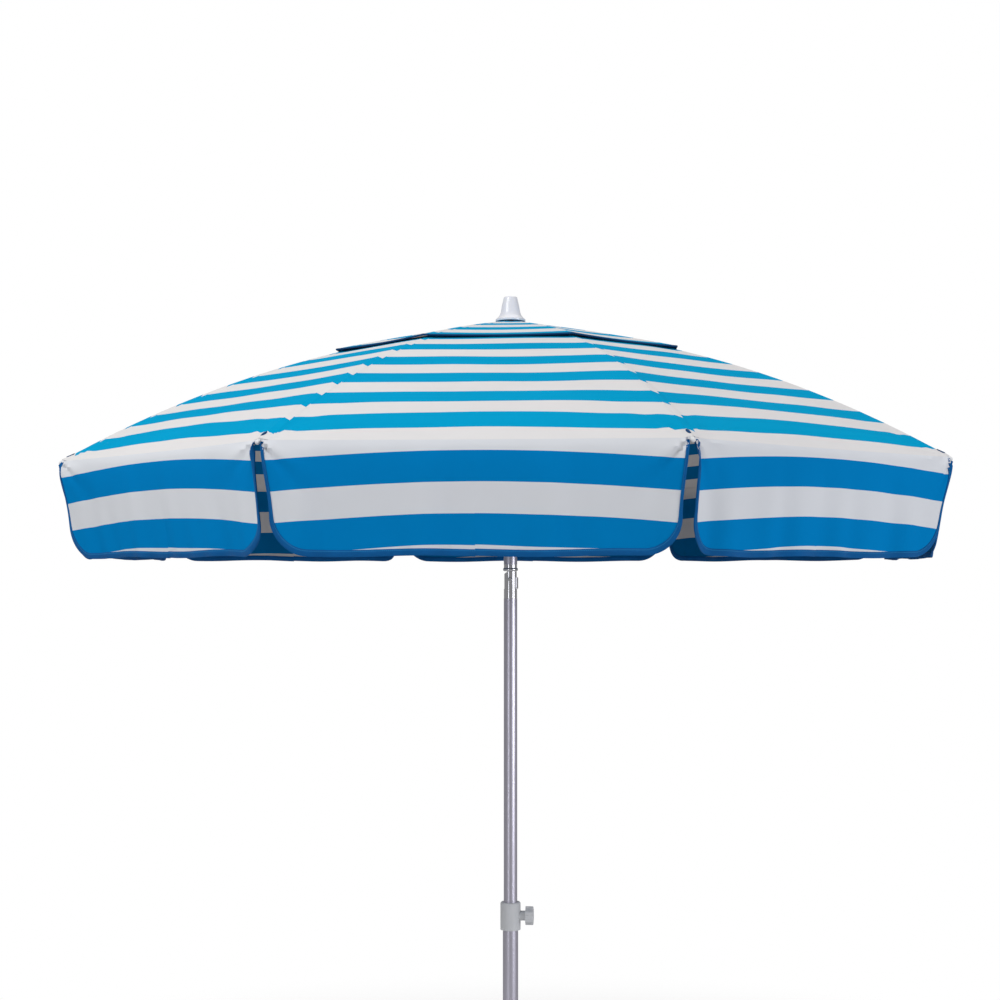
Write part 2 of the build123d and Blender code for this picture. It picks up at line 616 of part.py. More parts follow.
def main():
    os.makedirs("parts", exist_ok=True)
    patterns = {
        "rib": [rib(), rivet()],
        "rib_tip": [rib_tip()],
        "stretcher": [stretcher()],
        "canopy_panel": list(canopy_panel()),
        "valance_panel": list(valance_panel()),
    }
    for name, shapes in patterns.items():
        for number, azimuth in enumerate(RIB_AZIMUTHS, 1):
            write(f"{name}_{number}", [turned(shape, azimuth) for shape in shapes])
    single = {
        "lower_pole": lower_pole(),
        "ground_spike": ground_spike(),
        "height_collar": height_collar(),
        "clamp_knob": clamp_knob(),
        "mid_pole": mid_pole(),
        "tilt_lower_socket": tilt_lower_socket(),
        "tilt_upper_socket": tilt_upper_socket(),
        "tilt_pin": tilt_pin(),
        "tilt_release_button": tilt_release_button(),
        "upper_pole": upper_pole(),
        "crown_hub": crown_hub(),
        "crown_ring_wire": ring_wire(CROWN_Z),
        "finial": finial(),
        "runner": runner(),
        "runner_ring_wire": ring_wire(RUNNER_Z),
        "runner_catch": runner_catch(),
        "catch_pin": catch_pin(),
    }
    for name, shape in single.items():
        write(name, shape)
    print("crown pins", CROWN_Z, "runner pins", round(RUNNER_Z, 2), "pivot", round(PIVOT_Z, 2))
    print("stretcher", round(STRETCHER, 2), "crown slope", round(CROWN_SLOPE, 2))


main()
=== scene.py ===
"""Looks of the beach umbrella: striped cloth, bindings, seams, metal and plastic round the CAD frame."""
import json
import math
import random

import bpy
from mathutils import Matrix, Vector, noise


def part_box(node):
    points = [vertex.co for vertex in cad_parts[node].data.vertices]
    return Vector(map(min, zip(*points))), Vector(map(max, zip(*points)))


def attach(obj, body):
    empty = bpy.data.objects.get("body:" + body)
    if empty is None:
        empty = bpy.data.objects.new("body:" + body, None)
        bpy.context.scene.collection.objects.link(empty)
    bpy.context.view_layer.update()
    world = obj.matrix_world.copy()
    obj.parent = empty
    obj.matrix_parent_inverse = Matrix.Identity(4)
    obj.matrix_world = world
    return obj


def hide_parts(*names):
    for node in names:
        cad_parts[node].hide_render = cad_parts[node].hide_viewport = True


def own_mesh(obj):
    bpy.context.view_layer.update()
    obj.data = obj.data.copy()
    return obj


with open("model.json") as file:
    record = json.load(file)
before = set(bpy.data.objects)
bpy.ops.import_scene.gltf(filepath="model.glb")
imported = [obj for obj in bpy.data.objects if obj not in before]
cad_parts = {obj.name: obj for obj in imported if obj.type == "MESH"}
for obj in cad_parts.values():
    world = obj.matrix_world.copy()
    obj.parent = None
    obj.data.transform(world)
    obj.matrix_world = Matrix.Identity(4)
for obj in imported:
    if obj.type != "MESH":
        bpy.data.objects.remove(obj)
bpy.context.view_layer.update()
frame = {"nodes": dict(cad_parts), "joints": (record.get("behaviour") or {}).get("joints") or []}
JOINTS = {joint["name"]: joint for joint in frame["joints"]}

# Places read from the frame, in metres
RIBS = 8
HALF = math.radians(180 / RIBS)
CROWN = Vector(JOINTS["canopy_fold"]["pos_m"])
TIP = Vector(JOINTS["valance_1_hang"]["pos_m"])
RING_RADIUS = math.hypot(CROWN.x, CROWN.y)
RIM_RADIUS = math.hypot(TIP.x, TIP.y)
FINIAL_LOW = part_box("finial")[0]

# Cloth, in metres
LIFT = 0.0031  # from a rib's line up to the cloth
BEND_RADIUS = 2.4  # of a rib
THICKNESS = 0.0007
STRIPE = 0.056
FIRST_BLUE = 0.041  # from the rim up to the first blue stripe
VENT_RADIUS = 0.30
CAP_RADIUS = 0.411
CAP_INNER = 0.014
CAP_LIFT = 0.0085
CAP_BOW = 0.0035
CAP_CENTRE = FINIAL_LOW[2] - 0.0012
SCALLOP = 0.016  # how far the rim curves in between two tips
ROLL = 0.010  # how far the cloth rolls over at the rim
STRIPE_DIP = 0.013  # how much lower the stripes are at the ribs
SLOPE_SHIFT = -0.004  # of the stripes above the rim
FLAP_SHIFT = 0.004  # of the stripes below it
SAG = 0.006  # how far the middle of a panel hangs below its ribs
DROP = 0.209
TUCK = 0.032  # how far the hem hangs inside the rim
CORNER = 0.068
BINDING = 0.0058  # the braid's width at the slits
HEM_BINDING = 0.012
VENT_BINDING = 0.005
SEAM = 0.018
FOLD_STRIP = 0.105  # half the width of the strip at a rib that folds least
SEAM_RISE = 0.0009
SEAM_SLANT = 1.2  # how much steeper than its neighbour's the pattern runs over a felled seam
EDGE_GAP = 0.0012  # from a seam's stitching to the step beside it
PUCKER = 0.0032
PUCKER_REACH = 0.06
RIPPLE_AT_RIM = 0.0010
RIPPLE_AT_HEM = 0.0062
TIP_BUMP = 0.003
WANDER = 0.0016  # unevenness of the stretched cloth
SLIT_GAP = 0.0055  # from a rib's plane to a flap's edge, at the rim
SLIT_OPENING = 0.0125  # what the slit gains on the way down
FLAP_TURN = 0.011  # how far the cloth bulges out as it turns down over the rim
FLAP_CURL = 0.006
HEM_WAVE = 0.0015
CAP_DIP = 0.006  # how far the vent cap's edge curves in between two ribs
CAP_SAG = 0.002
STRAIGHT_STEPS = 16
CORNER_STEPS = 16
HEM_STEPS = 48
UP = Vector((0, 0, 1))


def rib_height(radius):
    """Height of a rib's line, an arc through the crown pin and the tip."""
    tip_z = TIP.z - LIFT
    rise, run = CROWN.z - tip_z, RIM_RADIUS - RING_RADIUS
    chord = math.hypot(rise, run)
    slope = math.atan2(rise, run) - math.asin(chord / 2 / BEND_RADIUS)
    centre_x = RING_RADIUS - BEND_RADIUS * math.sin(slope)
    centre_z = CROWN.z - BEND_RADIUS * math.cos(slope)
    return centre_z + math.sqrt(BEND_RADIUS**2 - (radius - centre_x) ** 2)


def cap_height(radius):
    """Height of the vent cap over a rib."""
    edge = rib_height(CAP_RADIUS) + LIFT + CAP_LIFT
    share = (radius - CAP_INNER) / (CAP_RADIUS - CAP_INNER)
    return CAP_CENTRE + (edge - CAP_CENTRE) * share + 4 * CAP_BOW * share * (1 - share)


def direction(angle):
    return Vector((math.cos(angle), math.sin(angle), 0))


def smooth(low, high, value):
    share = min(1.0, max(0.0, (value - low) / (high - low)))
    return share * share * (3 - 2 * share)


def rib_angle(number):
    return HALF + 2 * HALF * (number - 1)


def gore_index(number, side):
    """Which panel lies beside a rib: panels are counted from the one on +X."""
    return (number - 1 + (1 if side > 0 else 0)) % RIBS


def gore_axes(number, side):
    """Outward direction of the panel beside a rib, and the level one from the rib to its middle."""
    angle = rib_angle(number) + side * HALF
    return direction(angle), direction(angle + side * math.pi / 2)


def swell(share):
    """How much of the middle of a panel is felt at a share of the way in from the rib."""
    return 1 - max(0.0, 1 - share) ** 1.7


class Ripples:
    """Soft folds of one panel's valance, as a few seeded waves along the rim."""

    def __init__(self, seed):
        pick = random.Random(seed)
        self.waves = [
            (pick.uniform(0.10, 0.17), pick.uniform(0, 6.28), pick.uniform(0.3, 0.65)),
            (pick.uniform(0.17, 0.26), pick.uniform(0, 6.28), pick.uniform(0.35, 0.65)),
            (pick.uniform(0.055, 0.085), pick.uniform(0, 6.28), pick.uniform(0.12, 0.3)),
        ]
        self.drift = pick.uniform(-0.25, 0.25)

    def at(self, along, down):
        """Outward offset at a distance along the rim from the panel's middle, and down the flap."""
        total = 0.0
        for length, phase, weight in self.waves:
            total += weight * math.sin(2 * math.pi * (along + self.drift * down) / length + phase)
        return total * (RIPPLE_AT_RIM + RIPPLE_AT_HEM * (down / DROP) ** 1.15)


RIPPLES = [Ripples(40 + 7 * index) for index in range(RIBS)]


def pucker(along, away, seed):
    """Creases that radiate from a rib's tip. along and away are distances from it."""
    reach = math.hypot(along, away)
    angle = math.atan2(away, along)
    waves = math.sin(9 * angle + seed) + 0.6 * math.sin(15 * angle + 2.3 * seed)
    return PUCKER * waves * math.exp(-reach / PUCKER_REACH) * smooth(0.0, 0.012, reach)


def slope_lengths(steps=400):
    """Distances up the middle line of a panel from the rim, at even steps of radius."""
    lengths, last = [0.0], rib_height(RIM_RADIUS)
    for step in range(1, steps + 1):
        here = rib_height(RIM_RADIUS * (1 - step / steps))
        lengths.append(lengths[-1] + math.hypot(RIM_RADIUS / steps * math.cos(HALF), here - last))
        last = here
    return lengths


SLOPE_LENGTHS = slope_lengths()


def slope_length(radius):
    """Distance down the middle line of a panel from a radius to the rim."""
    place = (1 - radius / RIM_RADIUS) * (len(SLOPE_LENGTHS) - 1)
    first = min(int(max(place, 0.0)), len(SLOPE_LENGTHS) - 2)
    low, high = SLOPE_LENGTHS[first : first + 2]
    return low + (high - low) * (place - first)


def canopy_point(number, side, radius, away):
    """(place, height up the cloth from the rim) of the main cloth, away metres in from the rib."""
    out, level = gore_axes(number, side)
    half_width = radius * math.sin(HALF)
    share = min(1.0, away / half_width)
    inward = SCALLOP * swell(share) * smooth(0.55, 1.0, radius / RIM_RADIUS)
    apothem = radius * math.cos(HALF) - inward
    place = out * apothem - level * (half_width - away)
    drop = ROLL * swell(share) * smooth(0.91, 1.0, radius / RIM_RADIUS)
    belly = -SAG * swell(share) * smooth(0.45, 0.7, radius) * (1 - smooth(0.75, 1.0, radius))
    bump = TIP_BUMP * math.exp(-(((RIM_RADIUS - radius) / 0.02) ** 2) - (away / 0.010) ** 2)
    wander = WANDER * noise.noise(Vector((place.x, place.y, 3.0)) * 7.0)
    crease = pucker(RIM_RADIUS - radius, away, number + 0.5 * side)
    fade = 1 - smooth(RIM_RADIUS - 0.03, RIM_RADIUS, radius)
    height = rib_height(apothem / math.cos(HALF)) + LIFT - drop + belly + bump
    place.z = height + wander * smooth(0, 0.02, away) * fade + crease * smooth(0, 0.006, away) * fade
    dip = (SCALLOP / 0.88 + STRIPE_DIP) * swell(share) * max(0.0, (radius - 0.5) / 0.5)
    return place, slope_length(apothem / math.cos(HALF)) - dip + STRIPE_DIP + SLOPE_SHIFT


def cap_point(number, side, radius, away):
    """The same for the vent cap, whose pattern is counted from its own edge."""
    out, level = gore_axes(number, side)
    half_width = radius * math.sin(HALF)
    share = min(1.0, away / half_width)
    dip = CAP_DIP * swell(share) * smooth(0.5, 1.0, radius / CAP_RADIUS)
    place = out * (radius * math.cos(HALF) - dip) - level * (half_width - away)
    place.z = cap_height(radius) - CAP_SAG * swell(share) * smooth(0.3, 0.9, radius / CAP_RADIUS)
    return place, FIRST_BLUE + 0.012 + (CAP_RADIUS - radius) * 0.95


# Meshes


def mesh_piece(name, points, faces, uvs):
    """A piece from its corners, its faces, and the pattern coordinates of each face's corners."""
    mesh = bpy.data.meshes.new(name)
    mesh.from_pydata(points, [], faces)
    layer = mesh.uv_layers.new(name="cloth")
    for loop, value in zip(layer.data, uvs):
        loop.uv = value
    piece = bpy.data.objects.new(name, mesh)
    bpy.context.collection.objects.link(piece)
    return piece


def grid_mesh(name, rows, patterns):
    """A mesh of quads from rows of places, with each corner's pattern coordinates.

    patterns[row][column] is (along, up), or a pair of them where the faces before and after a
    column differ.
    """
    columns = len(rows[0])
    points = [tuple(point) for row in rows for point in row]
    faces, uvs = [], []
    for r in range(len(rows) - 1):
        for c in range(columns - 1):
            corners = [(r, c), (r, c + 1), (r + 1, c + 1), (r + 1, c)]
            faces.append([i * columns + j for i, j in corners])
            for i, j in corners:
                value = patterns[i][j]
                if isinstance(value[0], tuple):
                    value = value[1] if j == c else value[0]
                uvs.append(value)
    return mesh_piece(name, points, faces, uvs)


def facing(piece, outward):
    """Turns the faces so that the first one looks along a direction."""
    mesh = piece.data
    if mesh.polygons[len(mesh.polygons) // 2].normal.dot(outward) < 0:
        mesh.flip_normals()


def thicken(piece, thickness=THICKNESS, angle=40):
    """Gives a sheet its thickness inside its outer face, with crisp edges and smooth faces."""
    solid = piece.modifiers.new("thickness", "SOLIDIFY")
    solid.thickness = thickness
    solid.offset = -1
    # The inner face takes the second material where there is one: for the cloth, its inside in painted
    # shade.
    solid.material_offset = 1
    graph = bpy.context.evaluated_depsgraph_get()
    mesh = bpy.data.meshes.new_from_object(piece.evaluated_get(graph))
    piece.modifiers.clear()
    piece.data = mesh
    mesh.shade_smooth()
    mesh.set_sharp_from_angle(angle=math.radians(angle))
    return piece


def fold(piece, body):
    """Makes a piece ride on its body, with a mesh of its own."""
    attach(piece, body)
    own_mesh(piece)


def finish_sheet(piece, materials, node):
    """Gives a cloth piece its materials outside and inside and its thickness, and hides the frame's node
    for it.

    The declared area is the mesh's own, kept in the range that a declaration may have, so it says
    nothing about the mesh that the mesh doesn't say itself.
    """
    for material in materials:
        piece.data.materials.append(material)
    thicken(piece)
    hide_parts(node)


def fold_joint(number):
    return "canopy_fold" if number == 1 else f"rib_{number}_fold"


def strip_anchor(number, side, edge, inner_keep, outer_keep):
    """Where an outer strip's squash is anchored, so that it stays joined to the inner strip."""
    sideways = direction(rib_angle(number) + math.pi / 2)
    return sideways * (side * edge * (inner_keep - outer_keep) / (1 - outer_keep))


def radii(low, high, count, power=1.0):
    return [low + (high - low) * (1 - (1 - i / count) ** power) for i in range(count + 1)]


def rib_strip(name, number, point, rows, edge):
    """The strip of cloth over a rib, to both sides of it, with its flat-felled seam raised."""
    beside = SEAM + EDGE_GAP
    across = [0.0, 0.0008, SEAM - EDGE_GAP, SEAM, beside]
    across += [beside + (edge - beside) * i / 9 for i in range(1, 10)]
    columns = [(-1, away) for away in reversed(across[1:])] + [(1, away) for away in across]
    places, patterns = [], []
    for radius in rows:
        place_row, pattern_row = [], []
        for side, away in columns:
            reach = min(away, radius * math.sin(HALF) * 0.999)
            place, up = point(number, side, radius, reach)
            if side > 0 and 0 < away <= SEAM:
                place.z += SEAM_RISE
            along = side * away
            plain = (along, up)
            if side > 0 and away <= SEAM:
                felled = (along, up + away * math.sin(2 * HALF) * SEAM_SLANT)
                if away == SEAM:
                    plain = (felled, (along, up))
                elif away > 0:
                    plain = felled
            place_row.append(place)
            pattern_row.append(plain)
        places.append(place_row)
        patterns.append(pattern_row)
    piece = grid_mesh(name, places, patterns)
    facing(piece, UP)
    return piece


def side_strip(name, number, side, point, rows, edge, columns=14):
    """The cloth from the strip over a rib to the middle of the panel beside it."""
    places, patterns = [], []
    for radius in rows:
        half_width = radius * math.sin(HALF)
        start = min(edge, half_width * 0.999)
        place_row, pattern_row = [], []
        for column in range(columns + 1):
            away = start + (half_width - start) * column / columns
            place, up = point(number, side, radius, away)
            place_row.append(place)
            pattern_row.append((side * away, up))
        places.append(place_row)
        patterns.append(pattern_row)
    piece = grid_mesh(name, places, patterns)
    facing(piece, UP)
    return piece


def flap_edge(down):
    """Distance from the rib's plane to a flap's slit edge, at a distance down the flap."""
    start = SLIT_GAP + SLIT_OPENING * smooth(0.0, 0.14, down)
    over = max(0.0, down - (DROP - CORNER))
    return start + CORNER - math.sqrt(max(0.0, CORNER**2 - over**2))


def flap_shift(share, down):
    """How far the stripes of a flap lie below where the slope's pattern would put them."""
    return FLAP_SHIFT + 0.009 * (1 - swell(share)) * smooth(0.0, 0.03, down)


def flap_point(number, side, away, down):
    """A place on a flap: away from the rib along the rim, and down from the rim."""
    out, level = gore_axes(number, side)
    half_width = RIM_RADIUS * math.sin(HALF)
    top, pattern = canopy_point(number, side, RIM_RADIUS, away)
    turn = FLAP_TURN * (1 - math.exp(-down / 0.016))
    lean = TUCK * (down / DROP) ** 1.25
    share = away / half_width
    near = 1 - smooth(0.0, 0.10, away)
    along = side * (half_width - away)
    ripple = RIPPLES[gore_index(number, side)].at(along, down) * smooth(0.0, 0.04, down)
    crease = pucker(down, away, 1.7 * number + side) * smooth(0, 0.01, down) * 1.6
    curl = -FLAP_CURL * near * smooth(0.02, 0.12, down)
    place = top + out * (turn - lean + ripple + crease + curl)
    place.z -= down - 0.35 * turn
    place.z += HEM_WAVE * math.sin(along * 21 + number) * smooth(0.1, DROP, down)
    return place, pattern - SLOPE_SHIFT - down + 0.002 * share + flap_shift(share, down)


def valance_flap(number, side):
    """Half a flap, with its straight slit edge and round lower corner."""
    half_width = RIM_RADIUS * math.sin(HALF)
    straight = DROP - CORNER
    downs = [straight * i / STRAIGHT_STEPS for i in range(STRAIGHT_STEPS)]
    for i in range(CORNER_STEPS + 1):
        downs.append(straight + CORNER * math.sin(math.pi / 2 * i / CORNER_STEPS))
    places, patterns = [], []
    for down in downs:
        edge = flap_edge(down)
        place_row, pattern_row = [], []
        for column in range(HEM_STEPS + 1):
            away = edge + (half_width - edge) * (column / HEM_STEPS) ** 1.25
            place, up = flap_point(number, side, away, down)
            place_row.append(place)
            pattern_row.append((side * away, up))
        places.append(place_row)
        patterns.append(pattern_row)
    piece = grid_mesh(f"valance_flap_{number}_{'left' if side > 0 else 'right'}", places, patterns)
    facing(piece, gore_axes(number, side)[0])
    return piece


def flap_border():
    """(away, down) of points along the slit, round the corner and along the hem."""
    border = []
    straight = DROP - CORNER
    for i in range(1, 25):
        down = straight * i / 24
        border.append((flap_edge(down), down))
    for i in range(1, CORNER_STEPS + 1):
        down = straight + CORNER * math.sin(math.pi / 2 * i / CORNER_STEPS)
        border.append((flap_edge(down), down))
    corner_away = flap_edge(DROP)
    half_width = RIM_RADIUS * math.sin(HALF)
    for i in range(1, HEM_STEPS + 1):
        border.append((corner_away + (half_width - corner_away) * i / HEM_STEPS, DROP))
    return border


def binding_band(border, inwards, widths, place_of, outward):
    """A braid folded over a cloth edge: a flat, slightly puffed band on both faces.

    inwards and widths give each border point's direction into the cloth and the braid's width there.
    """
    section = [(1.0, 0.0006), (0.93, 0.0013), (0.5, 0.0016), (0.12, 0.0015), (-0.06, 0.0008)]
    profile = section + [(x, -y - THICKNESS) for x, y in reversed(section)]
    rows, patterns, travelled, last = [], [], 0.0, None
    for (away, down), inward, width in zip(border, inwards, widths):
        row = []
        for across, proud in profile:
            shift = (inward[0] * width * across, inward[1] * width * across)
            place = place_of(away + shift[0], down + shift[1])
            row.append(place + outward * proud)
        rows.append(row + [row[0]])
        here = place_of(away, down)
        travelled += (here - last).length if last else 0.0
        last = here
        patterns.append([(travelled, 0.1 * j / len(profile)) for j in range(len(row) + 1)])
    return rows, patterns


def edge_normals(border):
    """Unit directions into the cloth, square to its border, in (away, down)."""
    normals = []
    for index in range(len(border)):
        before = border[max(0, index - 1)]
        after = border[min(len(border) - 1, index + 1)]
        run = (after[0] - before[0], after[1] - before[1])
        length = math.hypot(*run)
        normals.append((run[1] / length, -run[0] / length))
    return normals


def flap_binding_width(down):
    return BINDING + (HEM_BINDING - BINDING) * smooth(0.55 * DROP, DROP, down)


def closed_band(name, rows, patterns):
    """A mesh of a band, its seam merged and its ends capped."""
    count = len(rows[0]) - 1
    points = [tuple(point) for row in rows for point in row[:-1]]
    faces, uvs = [], []
    for r in range(len(rows) - 1):
        for c in range(count):
            corners = [(r, c), (r, c + 1), (r + 1, c + 1), (r + 1, c)]
            faces.append([i * count + j % count for i, j in corners])
            uvs += [patterns[i][j] for i, j in corners]
    last = (len(rows) - 1) * count
    for ring in (list(range(count))[::-1], [last + c for c in range(count)]):
        faces.append(ring)
        uvs += [(0.0, 0.0)] * count
    piece = mesh_piece(name, points, faces, uvs)
    piece.data.shade_smooth()
    piece.data.set_sharp_from_angle(angle=math.radians(60))
    return piece


# Materials


def new_material(name):
    material = bpy.data.materials.new(name)
    material.use_nodes = True
    tree = material.node_tree
    return material, tree, tree.nodes["Principled BSDF"]


def node(tree, kind, **values):
    made = tree.nodes.new(kind)
    for key, value in values.items():
        setattr(made, key, value)
    return made


def linked(tree, source, target):
    tree.links.new(source, target)


def math_node(tree, operation, first, second=None):
    made = node(tree, "ShaderNodeMath", operation=operation)
    for socket, value in zip(made.inputs, (first, second)):
        if value is None:
            continue
        if isinstance(value, (int, float)):
            socket.default_value = value
        else:
            linked(tree, value, socket)
    return made.outputs[0]


def colour_mix(tree, factor, first, second):
    made = node(tree, "ShaderNodeMix", data_type="RGBA")
    for socket, value in zip((made.inputs[0], made.inputs[6], made.inputs[7]), (factor, first, second)):
        if isinstance(value, (int, float, tuple)):
            socket.default_value = value
        else:
            linked(tree, value, socket)
    return made.outputs[2]


def darkened(colour, share):
    return tuple(c * share for c in colour[:3]) + (1,)


def cloth_coordinates(tree):
    uv = node(tree, "ShaderNodeUVMap", uv_map="cloth")
    apart = node(tree, "ShaderNodeSeparateXYZ")
    linked(tree, uv.outputs[0], apart.inputs[0])
    return apart.outputs[0], apart.outputs[1]


def weave_height(tree, along, up, pitch):
    """A plain weave: warp and weft threads that pass over each other."""
    warp = math_node(tree, "SINE", math_node(tree, "MULTIPLY", along, 2 * math.pi / pitch))
    weft = math_node(tree, "SINE", math_node(tree, "MULTIPLY", up, 2 * math.pi / pitch))
    return math_node(tree, "MULTIPLY", warp, weft)


def bump(tree, shader, height, strength, distance):
    made = node(tree, "ShaderNodeBump")
    made.inputs["Strength"].default_value = strength
    made.inputs["Distance"].default_value = distance
    linked(tree, height, made.inputs["Height"])
    linked(tree, made.outputs[0], shader.inputs["Normal"])


def object_noise(tree, scale, detail=3.0):
    where = node(tree, "ShaderNodeTexCoord")
    made = node(tree, "ShaderNodeTexNoise")
    made.inputs["Scale"].default_value = scale
    made.inputs["Detail"].default_value = detail
    linked(tree, where.outputs["Object"], made.inputs["Vector"])
    return made.outputs["Fac"]


def striped_cloth(name, blue, white):
    """Woven stripes that run along the rim, with a slight unevenness of dye and a fine weave."""
    material, tree, shader = new_material(name)
    along, up = cloth_coordinates(tree)
    turn = math_node(tree, "SUBTRACT", up, FIRST_BLUE - 20 * STRIPE)
    share = math_node(tree, "FRACT", math_node(tree, "DIVIDE", turn, 2 * STRIPE))
    is_white = math_node(tree, "GREATER_THAN", share, 0.5)
    base = colour_mix(tree, is_white, blue, white)
    deep = colour_mix(tree, is_white, darkened(blue, 0.86), darkened(white, 0.93))
    clouds = math_node(tree, "MULTIPLY", object_noise(tree, 5.0), 0.8)
    linked(tree, colour_mix(tree, clouds, base, deep), shader.inputs["Base Color"])
    threads = weave_height(tree, along, up, 0.0011)
    slubs = object_noise(tree, 260.0, 2.0)
    bump(tree, shader, math_node(tree, "ADD", threads, slubs), 0.35, 0.0004)
    shader.inputs["Roughness"].default_value = 0.8
    shader.inputs["Specular IOR Level"].default_value = 0.01
    return material


def braid(name, colour, thread):
    """Ribbed binding tape with a row of lockstitches along its inner edge."""
    material, tree, shader = new_material(name)
    along, across = cloth_coordinates(tree)
    ribs = math_node(tree, "SINE", math_node(tree, "MULTIPLY", along, 2 * math.pi / 0.0016))
    clouds = object_noise(tree, 30.0)
    darker = darkened(colour, 0.72)
    tape = colour_mix(tree, clouds, colour, darker)
    off_row = math_node(tree, "ABSOLUTE", math_node(tree, "SUBTRACT", across, 0.0135))
    row = math_node(tree, "LESS_THAN", off_row, 0.0012)
    turn = math_node(tree, "FRACT", math_node(tree, "DIVIDE", along, 0.0034))
    dash = math_node(tree, "LESS_THAN", turn, 0.68)
    stitch = math_node(tree, "MULTIPLY", row, dash)
    linked(tree, colour_mix(tree, stitch, tape, thread), shader.inputs["Base Color"])
    height = math_node(tree, "ADD", ribs, math_node(tree, "MULTIPLY", stitch, 2.0))
    bump(tree, shader, height, 0.5, 0.0005)
    shader.inputs["Roughness"].default_value = 0.7
    shader.inputs["Specular IOR Level"].default_value = 0.12
    shader.inputs["Sheen Weight"].default_value = 0.02
    return material


def moulded(name, colour, roughness, coat=0.0, subsurface=0.0):
    """Moulded plastic with a faint grain and scuffs that dull its gloss."""
    material, tree, shader = new_material(name)
    scuffs = object_noise(tree, 60.0, 5.0)
    darker = darkened(colour, 0.9)
    linked(tree, colour_mix(tree, scuffs, colour, darker), shader.inputs["Base Color"])
    rough = math_node(tree, "ADD", math_node(tree, "MULTIPLY", scuffs, 0.15), roughness)
    linked(tree, rough, shader.inputs["Roughness"])
    grain = object_noise(tree, 900.0, 2.0)
    bump(tree, shader, grain, 0.1, 0.0003)
    shader.inputs["Coat Weight"].default_value = coat
    if subsurface:
        shader.inputs["Subsurface Weight"].default_value = subsurface
        shader.inputs["Subsurface Radius"].default_value = (0.01, 0.01, 0.012)
    return material


def metal(name, colour, roughness, streaks, streak_depth):
    """Metal with long fine streaks down the tube and a little cloudiness."""
    material, tree, shader = new_material(name)
    where = node(tree, "ShaderNodeTexCoord")
    stretch = node(tree, "ShaderNodeMapping")
    stretch.inputs["Scale"].default_value = (streaks, streaks, streaks / 60)
    linked(tree, where.outputs["Object"], stretch.inputs["Vector"])
    lines = node(tree, "ShaderNodeTexNoise")
    lines.inputs["Scale"].default_value = 1.0
    lines.inputs["Detail"].default_value = 4.0
    linked(tree, stretch.outputs[0], lines.inputs["Vector"])
    clouds = object_noise(tree, 14.0)
    darker = darkened(colour, 1 - streak_depth)
    mixed = colour_mix(tree, math_node(tree, "MULTIPLY", lines.outputs["Fac"], clouds), colour, darker)
    linked(tree, mixed, shader.inputs["Base Color"])
    rough = math_node(tree, "ADD", math_node(tree, "MULTIPLY", clouds, roughness * 0.5), roughness * 0.75)
    linked(tree, rough, shader.inputs["Roughness"])
    bump(tree, shader, lines.outputs["Fac"], 0.06, 0.0004)
    shader.inputs["Metallic"].default_value = 1.0
    return material


def enamel(name, colour):
    """Sprayed enamel on steel rod, with a light orange-peel surface."""
    material, tree, shader = new_material(name)
    clouds = object_noise(tree, 25.0)
    darker = darkened(colour, 0.88)
    linked(tree, colour_mix(tree, clouds, colour, darker), shader.inputs["Base Color"])
    bump(tree, shader, object_noise(tree, 500.0, 2.0), 0.08, 0.0003)
    shader.inputs["Roughness"].default_value = 0.35
    shader.inputs["Coat Weight"].default_value = 0.3
    return material


BLUE_TOP = (0.0015, 0.370, 0.665, 1)
# The side colours are the top's cloth made darker and bluer: painted shade on the valance's upright
# sides.
BLUE_SIDE_PAINTED_SHADE = (0.0008, 0.235, 0.60, 1)
# The inside colours are the outside's made darker and greyer: painted shade on the cloth's underside.
BLUE_INSIDE_PAINTED_SHADE = (0.0008, 0.140, 0.360, 1)
WHITE = (0.80, 0.785, 0.785, 1)
WHITE_SIDE_PAINTED_SHADE = (0.77, 0.79, 0.83, 1)
WHITE_INSIDE_PAINTED_SHADE = (0.62, 0.59, 0.57, 1)
canopy_cloth = striped_cloth("canopy cloth", BLUE_TOP, WHITE)
# The valance's cloth: the canopy's stripes in painted shade, darker and bluer.
valance_cloth_painted_shade = striped_cloth("valance cloth painted shade", BLUE_SIDE_PAINTED_SHADE, WHITE_SIDE_PAINTED_SHADE)
# The inner face of every cloth piece: the stripes in painted shade, darker and greyer.
cloth_inside_painted_shade = striped_cloth("cloth inside painted shade", BLUE_INSIDE_PAINTED_SHADE, WHITE_INSIDE_PAINTED_SHADE)
rim_braid = braid("rim braid", (0.002, 0.125, 0.39, 1), (0.02, 0.22, 0.50, 1))
vent_braid = braid("vent braid", (0.004, 0.065, 0.19, 1), (0.02, 0.14, 0.32, 1))
white_plastic = moulded("white plastic", (0.82, 0.83, 0.84, 1), 0.38)
finial_plastic = moulded("finial plastic", (0.85, 0.85, 0.90, 1), 0.28, 0.3, 0.2)
grey_plastic = moulded("grey plastic", (0.62, 0.63, 0.65, 1), 0.42)
spike_plastic = moulded("spike plastic", (0.72, 0.73, 0.74, 1), 0.5)
chrome = metal("chrome", (0.62, 0.62, 0.65, 1), 0.09, 300.0, 0.12)
aluminium = metal("aluminium", (0.62, 0.60, 0.69, 1), 0.36, 500.0, 0.2)
wire_steel = metal("wire steel", (0.45, 0.45, 0.46, 1), 0.35, 200.0, 0.2)
rib_enamel = enamel("rib enamel", (0.80, 0.81, 0.82, 1))

